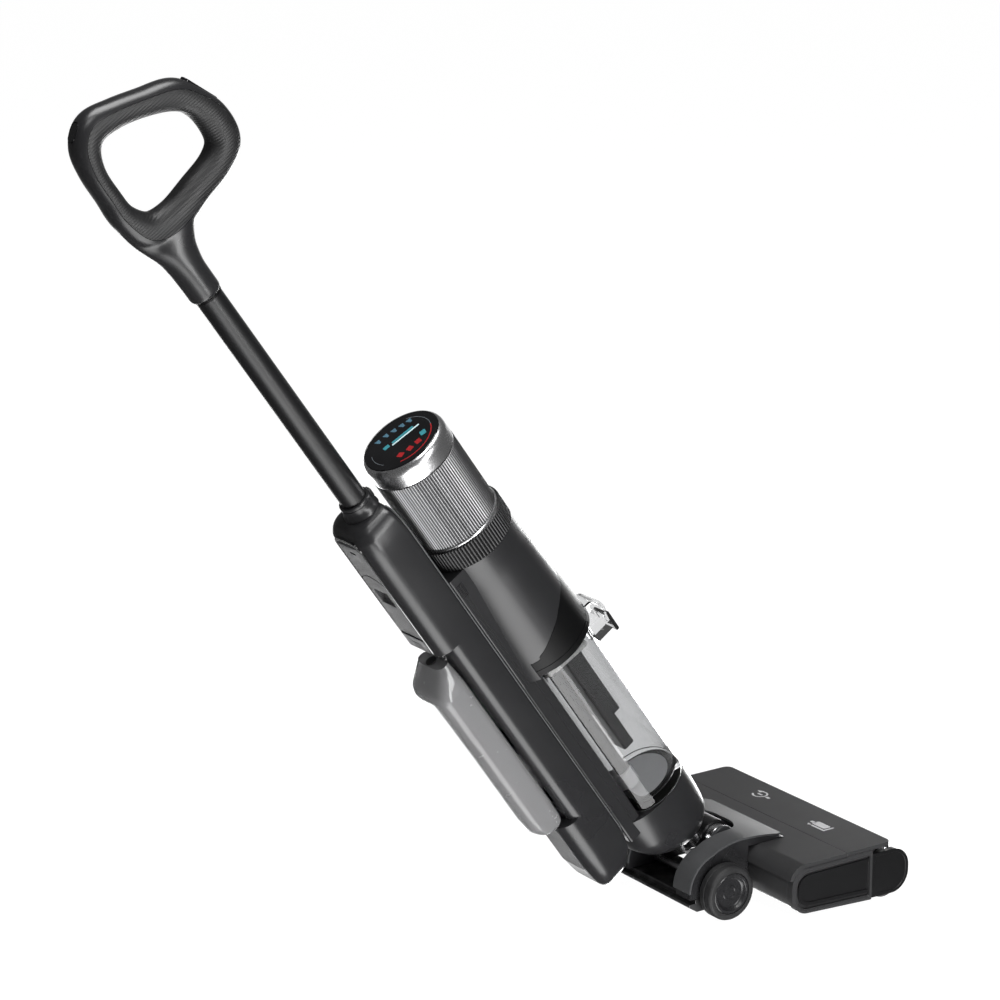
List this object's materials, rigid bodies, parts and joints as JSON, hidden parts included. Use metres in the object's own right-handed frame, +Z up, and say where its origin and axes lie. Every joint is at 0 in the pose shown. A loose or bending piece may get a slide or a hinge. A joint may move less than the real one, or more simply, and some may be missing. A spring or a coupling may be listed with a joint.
{
  "type": "wet dry floor scrubber",
  "caption": "Cordless upright floor washer: brush head on rear wheels, leaning body with clear recovery tank, rear clean-water tank and battery, round display, tube and closed loop handle.",
  "frame": {"origin": "centre of the footprint of the whole machine, on the floor", "axes": "+Z up, the machine faces -Y with its brush head, +X is its left side, the body leans back towards +Y"},
  "size_m": [0.2696, 0.866, 0.8963],
  "materials": {
    "shell_dark": "satin",
    "shell_black": "satin",
    "shell_grey": "satin",
    "panel_grey": "fine texture",
    "gloss_black": "gloss",
    "bezel_metal": "polished",
    "clear": "clear moulded plastic",
    "smoke": "smoke tinted moulded plastic",
    "rubber": "soft matte",
    "plush": "short pile",
    "silver": "satin, finely fluted",
    "steel": "brushed",
    "light_plastic": "satin",
    "filter_white": "non-woven",
    "board_green": "solder mask"
  },
  "bodies": {
    "head": {"head_base": "shell_dark", "head_rear_cover": "shell_dark", "scraper_strip": "light_plastic", "squeegee_blade": "rubber", "spray_bar": "shell_black", "end_frame_left": "shell_dark", "end_frame_right": "shell_dark", "end_panel_left": "shell_black", "end_panel_right": "shell_black", "roller_drive_cap": "shell_black", "roller_motor": "steel", "fork_frame": "shell_dark", "fork_cover": "shell_grey", "axle_bar": "light_plastic", "axle_rod": "steel", "pivot_cap_left": "shell_grey", "pivot_cap_right": "shell_grey"},
    "front_cover": {"head_front_cover": "shell_dark", "front_guard": "clear"},
    "roller_cap": {"roller_end_cap": "shell_black"},
    "roller": {"roller_core": "light_plastic", "roller_sleeve": "plush"},
    "wheel_left": {"tyre_left": "rubber", "wheel_hub_left": "shell_dark"},
    "wheel_right": {"tyre_right": "rubber", "wheel_hub_right": "shell_dark"},
    "knuckle": {"tilt_barrel": "bezel_metal", "neck_joint": "shell_black"},
    "body": {"body_boss": "shell_dark", "spine_shell": "shell_dark", "motor_housing": "shell_dark", "knurled_ring": "shell_black", "fluted_sleeve": "silver", "exhaust_filter": "filter_white", "bezel_ring": "bezel_metal", "display_glass": "gloss_black", "fan_motor": "steel", "water_pump": "shell_black", "control_board": "board_green", "tube_collar": "shell_dark"},
    "fan": {"fan_impeller": "shell_grey"},
    "battery": {"battery_pack": "panel_grey"},
    "battery_latch": {"battery_latch": "panel_grey"},
    "clean_tank": {"clean_tank": "smoke", "clean_tank_tab": "clear"},
    "clean_plug": {"clean_tank_plug": "rubber"},
    "dirty_tank": {"dirty_tank": "clear", "tank_lid": "shell_black", "tank_filter": "filter_white", "tank_duct": "shell_dark", "suction_riser": "clear"},
    "tank_float": {"tank_float": "light_plastic"},
    "tank_clip": {"tank_clip": "shell_black"},
    "collar_button": {"collar_button": "shell_black"},
    "handle": {"handle_tube": "shell_black", "handle_shell": "shell_dark", "grip_liner": "rubber"},
    "power_button": {"power_button": "gloss_black"},
    "mode_button": {"mode_button": "gloss_black"}
  },
  "joints": [
    {"name": "cover_lift", "type": "slide", "parent": "head", "child": "front_cover", "axis": [0, -0.7071, 0.7071], "range_m": [0, 0.12]},
    {"name": "roller_pull", "type": "slide", "parent": "head", "child": "roller_cap", "axis": [-1, 0, 0], "range_m": [0, 0.27]},
    {"name": "roller_spin", "type": "hinge", "parent": "roller_cap", "child": "roller", "pos_m": [0, -0.40711, 0.024], "axis": [1, 0, 0], "continuous": true},
    {"name": "wheel_left_spin", "type": "hinge", "parent": "head", "child": "wheel_left", "pos_m": [0, -0.24071, 0.0287], "axis": [1, 0, 0], "continuous": true},
    {"name": "wheel_right_spin", "type": "hinge", "parent": "head", "child": "wheel_right", "pos_m": [0, -0.24071, 0.0287], "axis": [1, 0, 0], "continuous": true},
    {"name": "body_tilt", "type": "hinge", "parent": "head", "child": "knuckle", "pos_m": [0, -0.27121, 0.0626], "axis": [1, 0, 0], "range_deg": [-10, 35.25]},
    {"name": "body_swivel", "type": "hinge", "parent": "knuckle", "child": "body", "pos_m": [0, -0.24017, 0.06735], "axis": [0, 0.5771, 0.8166], "range_deg": [-40, 40]},
    {"name": "fan_spin", "type": "hinge", "parent": "body", "child": "fan", "pos_m": [0, 0.00597, 0.40525], "axis": [0, 0.5771, 0.8166], "continuous": true},
    {"name": "battery_slide", "type": "slide", "parent": "body", "child": "battery", "axis": [0, 0.8166, -0.5771], "range_m": [0, 0.055]},
    {"name": "battery_latch_slide", "type": "slide", "parent": "battery", "child": "battery_latch", "axis": [0, -0.5771, -0.8166], "range_m": [0, 0.0012], "stiffness_N_per_m": 400},
    {"name": "clean_tank_slide", "type": "slide", "parent": "body", "child": "clean_tank", "axis": [0, 0.8166, -0.5771], "range_m": [0, 0.1]},
    {"name": "clean_plug_pull", "type": "slide", "parent": "clean_tank", "child": "clean_plug", "axis": [0, 0.5771, 0.8166], "range_m": [0, 0.013]},
    {"name": "dirty_tank_slide", "type": "slide", "parent": "body", "child": "dirty_tank", "axis": [0, -0.8166, 0.5771], "range_m": [0, 0.15]},
    {"name": "float_rise", "type": "slide", "parent": "dirty_tank", "child": "tank_float", "axis": [0, 0.5771, 0.8166], "range_m": [0, 0.06]},
    {"name": "tank_clip_swing", "type": "hinge", "parent": "dirty_tank", "child": "tank_clip", "pos_m": [0, -0.13645, 0.32553], "axis": [-1, 0, 0], "range_deg": [0, 25], "stiffness_Nm_per_rad": 0.05},
    {"name": "collar_button_press", "type": "slide", "parent": "body", "child": "collar_button", "axis": [0, 0.8166, -0.5771], "range_m": [0, 0.0015], "stiffness_N_per_m": 600},
    {"name": "handle_pull", "type": "slide", "parent": "body", "child": "handle", "axis": [0, 0.5771, 0.8166], "range_m": [0, 0.09]},
    {"name": "power_button_press", "type": "slide", "parent": "handle", "child": "power_button", "axis": [0, -0.9222, -0.3867], "range_m": [0, 0.0015], "stiffness_N_per_m": 600},
    {"name": "mode_button_press", "type": "slide", "parent": "handle", "child": "mode_button", "axis": [0, 0.541, -0.841], "range_m": [0, 0.0015], "stiffness_N_per_m": 600}
  ]
}
